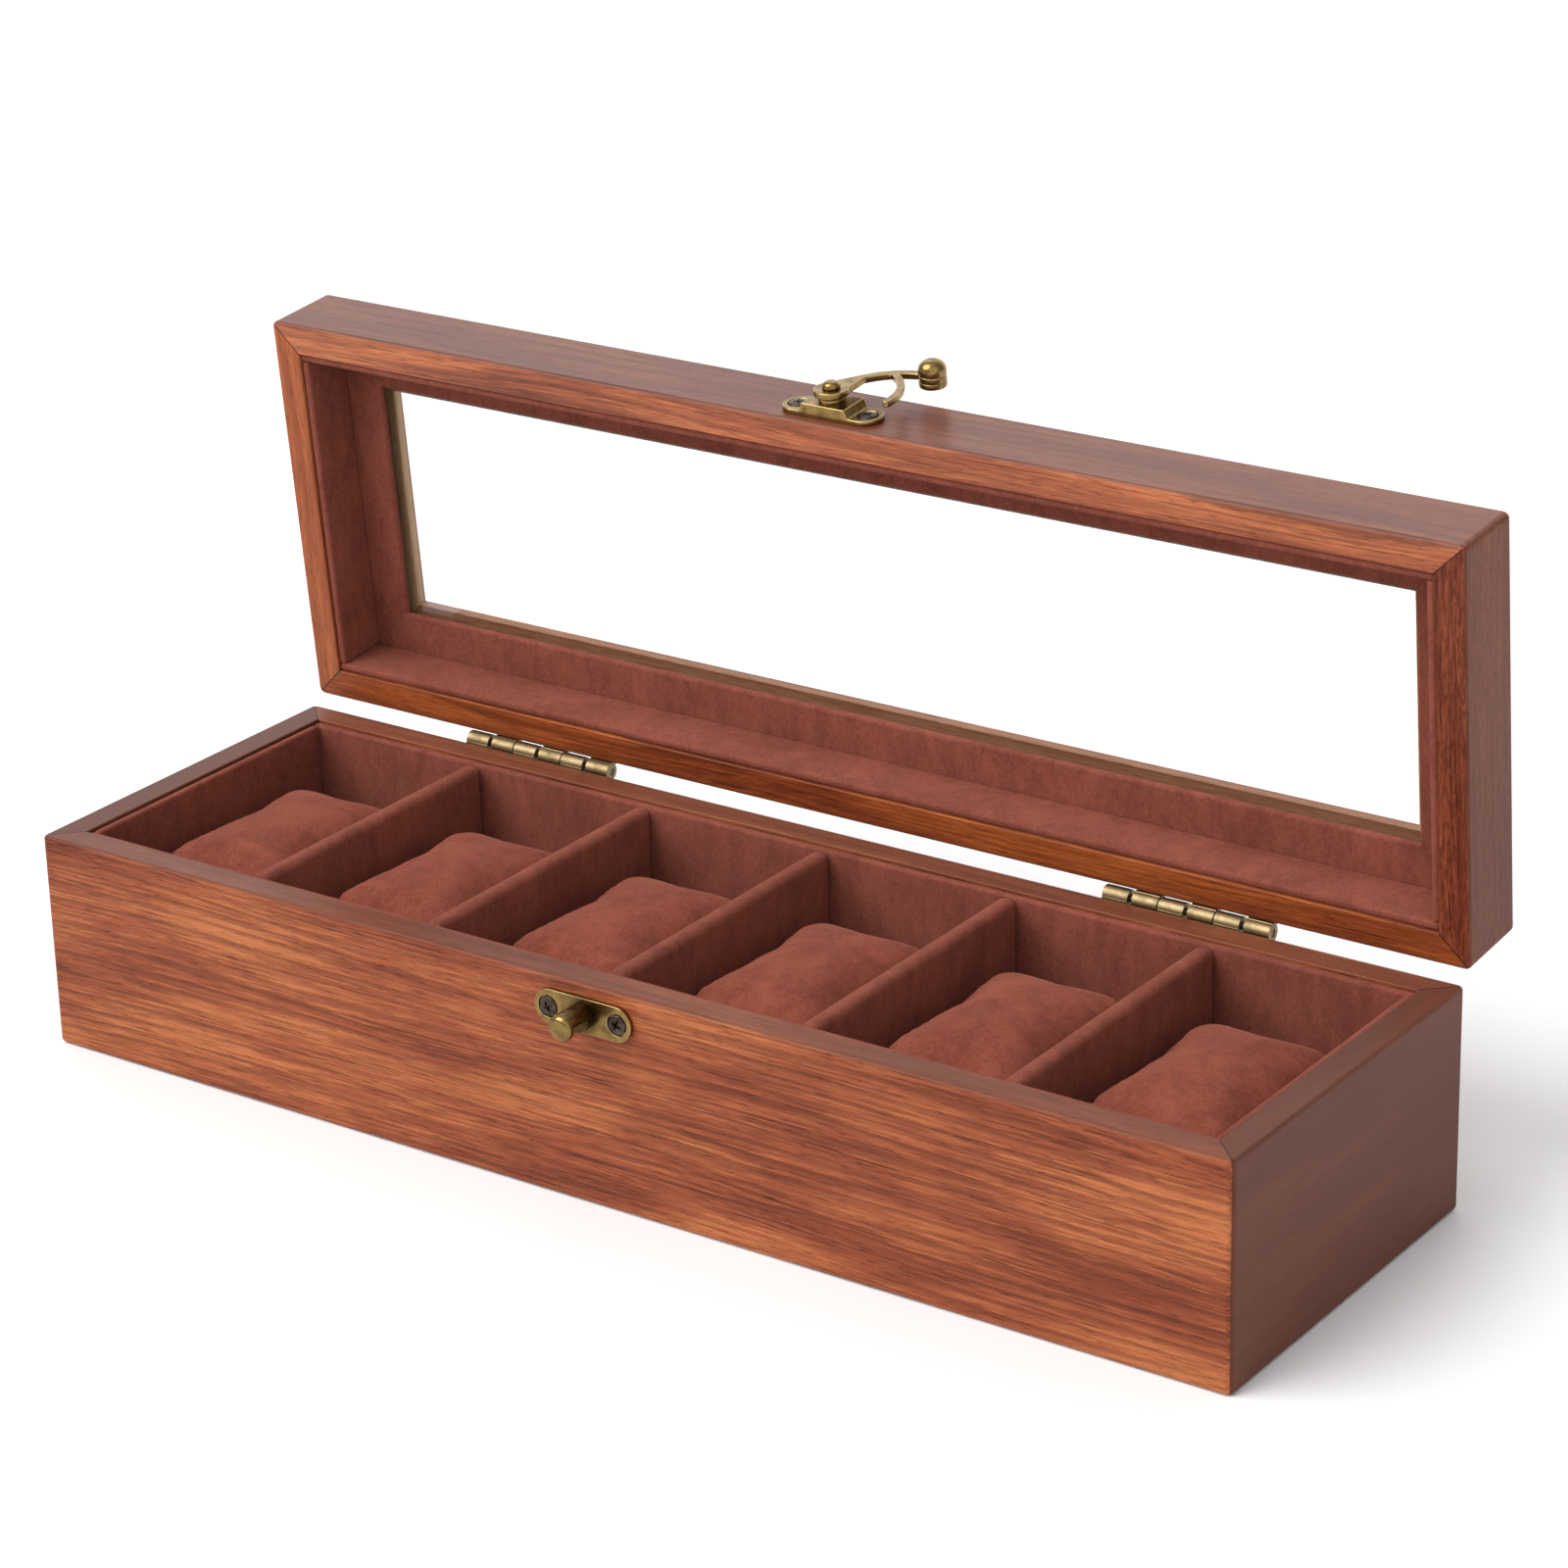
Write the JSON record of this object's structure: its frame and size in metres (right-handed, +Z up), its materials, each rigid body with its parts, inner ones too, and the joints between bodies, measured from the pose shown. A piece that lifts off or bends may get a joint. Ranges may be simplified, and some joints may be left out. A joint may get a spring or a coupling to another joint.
{
  "type": "watch box",
  "caption": "Wooden watch box with a glazed hinged lid, velvet-lined slots with lift-out cushions, stop hinges and a brass swing hook latch.",
  "frame": {"origin": "middle of the underside of the case, on the surface it stands on", "axes": "+X along the length of the case to the right as seen from the catch side, -Y the catch side (front), +Z up"},
  "size_m": [0.32, 0.1317, 0.1656],
  "materials": {
    "wood": "satin lacquer over reddish brown veneer",
    "velvet": "short-pile velvet over board",
    "cushion": "short-pile velvet over soft filling",
    "board": "plain board",
    "felt": "felt sheet",
    "glass": "clear",
    "antique_brass": "antique brass with dark recesses",
    "screw_bronze": "dark bronze plating",
    "pin_steel": "plain wire"
  },
  "bodies": {
    "base": {"base_front_wall": "wood", "base_back_wall": "wood", "base_left_wall": "wood", "base_right_wall": "wood", "base_felt": "felt", "base_floor": "board", "base_lining_floor": "velvet", "base_lining_front": "velvet", "base_lining_back": "velvet", "base_lining_left": "velvet", "base_lining_right": "velvet", "divider_1": "velvet", "divider_2": "velvet", "divider_3": "velvet", "divider_4": "velvet", "divider_5": "velvet", "catch_plate": "antique_brass", "catch_post": "antique_brass", "catch_screws": "screw_bronze", "hinge_left_case_leaf": "antique_brass", "hinge_right_case_leaf": "antique_brass", "hinge_left_pin": "pin_steel", "hinge_right_pin": "pin_steel", "hinge_case_screws": "screw_bronze"},
    "lid": {"lid_front_rail": "wood", "lid_back_rail": "wood", "lid_left_rail": "wood", "lid_right_rail": "wood", "lid_frame_front": "wood", "lid_frame_back": "wood", "lid_frame_left": "wood", "lid_frame_right": "wood", "lid_flange_front": "velvet", "lid_flange_back": "velvet", "lid_flange_left": "velvet", "lid_flange_right": "velvet", "lid_lining_front": "velvet", "lid_lining_back": "velvet", "lid_lining_left": "velvet", "lid_lining_right": "velvet", "lid_glass": "glass", "hook_plate": "antique_brass", "hook_rivet": "antique_brass", "hook_screws": "screw_bronze", "hinge_left_lid_leaf": "antique_brass", "hinge_right_lid_leaf": "antique_brass", "hinge_lid_screws": "screw_bronze"},
    "hook": {"hook_arm": "antique_brass", "hook_knob": "antique_brass"},
    "pillow_1_body": {"pillow_1": "cushion"},
    "pillow_2_body": {"pillow_2": "cushion"},
    "pillow_3_body": {"pillow_3": "cushion"},
    "pillow_4_body": {"pillow_4": "cushion"},
    "pillow_5_body": {"pillow_5": "cushion"},
    "pillow_6_body": {"pillow_6": "cushion"}
  },
  "joints": [
    {"name": "lid_hinge", "type": "hinge", "parent": "base", "child": "lid", "pos_m": [0, 0.05175, 0.0531], "axis": [-1, 0, 0], "range_deg": [-85, 0]},
    {"name": "hook_swing", "type": "hinge", "parent": "lid", "child": "hook", "pos_m": [-0.001, 0.04932, 0.15999], "axis": [0, -0.0872, 0.9962], "range_deg": [-106, 75]},
    {"name": "pillow_1_lift", "type": "slide", "parent": "base", "child": "pillow_1_body", "axis": [0, 0, 1], "range_m": [0, 0.06]},
    {"name": "pillow_2_lift", "type": "slide", "parent": "base", "child": "pillow_2_body", "axis": [0, 0, 1], "range_m": [0, 0.06]},
    {"name": "pillow_3_lift", "type": "slide", "parent": "base", "child": "pillow_3_body", "axis": [0, 0, 1], "range_m": [0, 0.06]},
    {"name": "pillow_4_lift", "type": "slide", "parent": "base", "child": "pillow_4_body", "axis": [0, 0, 1], "range_m": [0, 0.06]},
    {"name": "pillow_5_lift", "type": "slide", "parent": "base", "child": "pillow_5_body", "axis": [0, 0, 1], "range_m": [0, 0.06]},
    {"name": "pillow_6_lift", "type": "slide", "parent": "base", "child": "pillow_6_body", "axis": [0, 0, 1], "range_m": [0, 0.06]}
  ]
}
